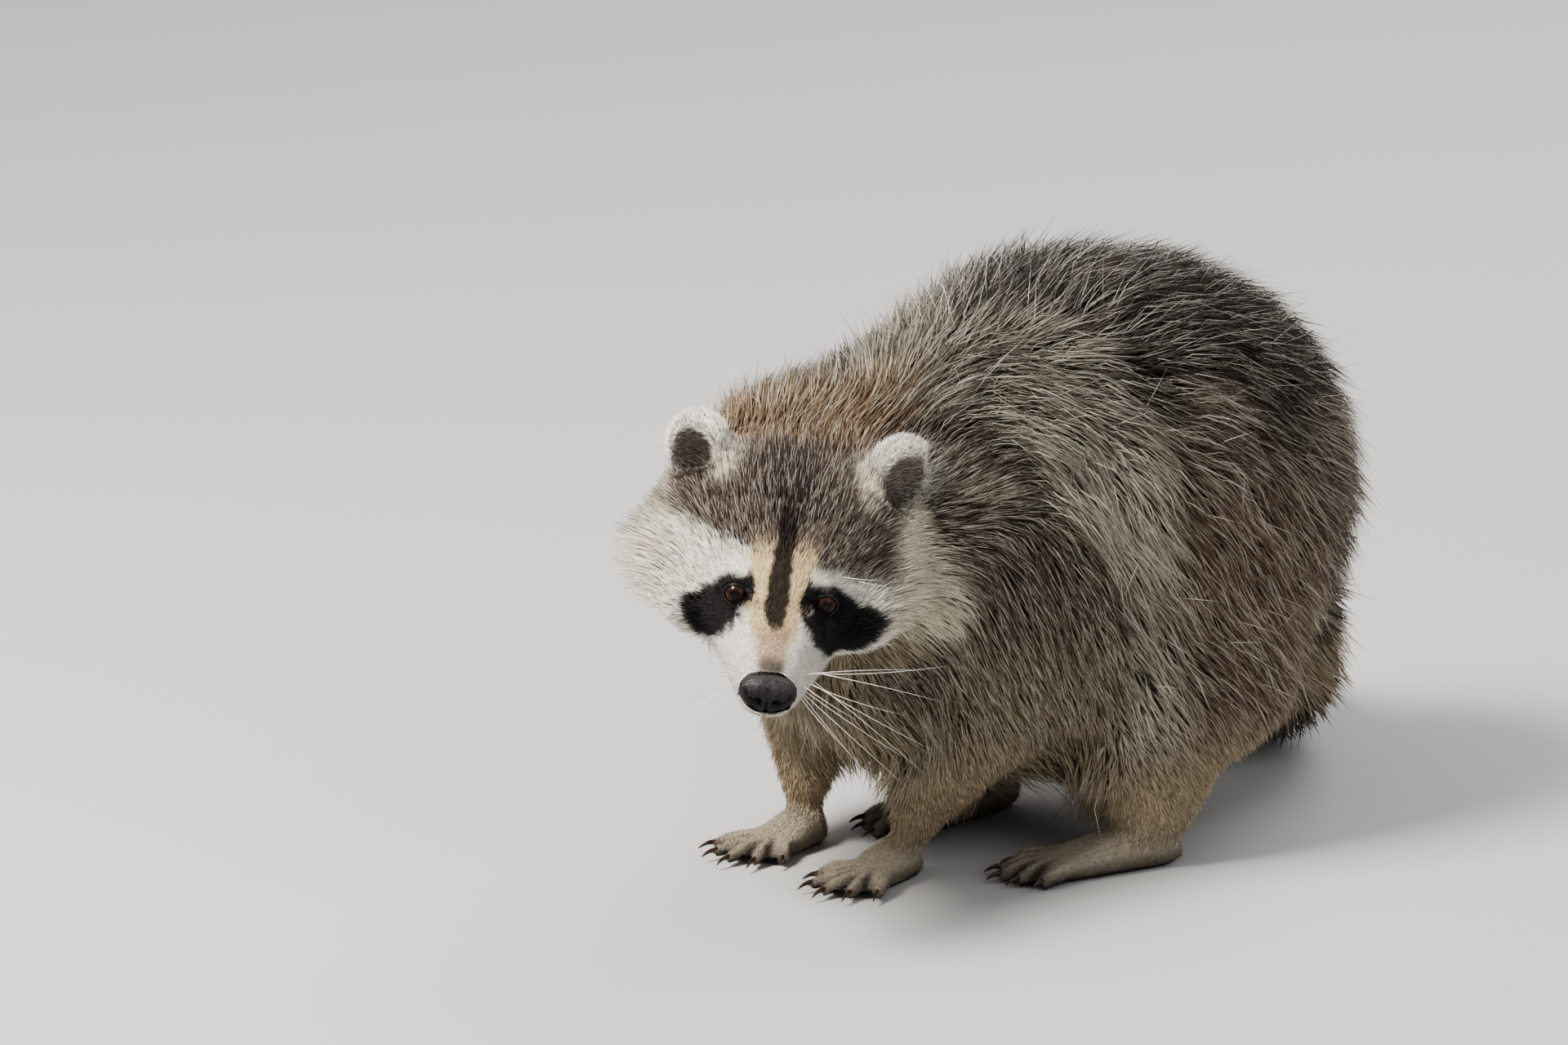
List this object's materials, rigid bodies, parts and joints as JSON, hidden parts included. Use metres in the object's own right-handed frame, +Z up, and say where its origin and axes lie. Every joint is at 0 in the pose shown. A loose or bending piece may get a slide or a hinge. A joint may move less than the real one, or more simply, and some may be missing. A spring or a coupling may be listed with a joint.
{
  "type": "raccoon",
  "caption": "Still life-size raccoon, hunched on four feet with its head turned to its left and low, masked face, rounded ears, clawed toes and a bushy tail curled on the floor.",
  "frame": {"origin": "on the floor, under the middle of the whole model's box", "axes": "+Z up; the trunk faces -Y; the animal's left side is +X"},
  "size_m": [0.3504, 0.4992, 0.29],
  "materials": {
    "pelt_grizzled": "long coarse coat, grizzled brown and grey with pale tips, matte",
    "pelt_face": "short dense coat with a black mask, white brows, muzzle and cheeks, matte",
    "pelt_ringed": "bushy coat in dark and pale rings, matte",
    "pelt_paw": "very short pale tan coat over grey toes, matte",
    "ear_fur": "short pale coat with a darker hollow, matte",
    "eye_gloss": "wet, very glossy dark brown",
    "nose_leather": "moist dark grey, finely pebbled",
    "claw_horn": "dark brown horn, slightly polished"
  },
  "bodies": {
    "root": {"claw_forefoot_left_1": "claw_horn", "claw_forefoot_left_2": "claw_horn", "claw_forefoot_left_3": "claw_horn", "claw_forefoot_left_4": "claw_horn", "claw_forefoot_left_5": "claw_horn", "claw_forefoot_right_1": "claw_horn", "claw_forefoot_right_2": "claw_horn", "claw_forefoot_right_3": "claw_horn", "claw_forefoot_right_4": "claw_horn", "claw_forefoot_right_5": "claw_horn", "claw_hindfoot_left_1": "claw_horn", "claw_hindfoot_left_2": "claw_horn", "claw_hindfoot_left_3": "claw_horn", "claw_hindfoot_left_4": "claw_horn", "claw_hindfoot_left_5": "claw_horn", "claw_hindfoot_right_1": "claw_horn", "claw_hindfoot_right_2": "claw_horn", "claw_hindfoot_right_3": "claw_horn", "claw_hindfoot_right_4": "claw_horn", "claw_hindfoot_right_5": "claw_horn", "ear_left": "ear_fur", "ear_right": "ear_fur", "eye_left": "eye_gloss", "eye_right": "eye_gloss", "forefoot_left": "pelt_paw", "forefoot_right": "pelt_paw", "foreleg_left": "pelt_grizzled", "foreleg_right": "pelt_grizzled", "head": "pelt_face", "hindfoot_left": "pelt_paw", "hindfoot_right": "pelt_paw", "hindleg_left": "pelt_grizzled", "hindleg_right": "pelt_grizzled", "jaw": "pelt_face", "neck": "pelt_grizzled", "nose": "nose_leather", "tail_middle": "pelt_ringed", "tail_root": "pelt_ringed", "tail_tip": "pelt_ringed", "trunk_front": "pelt_grizzled", "trunk_rear": "pelt_grizzled"}
  },
  "joints": []
}
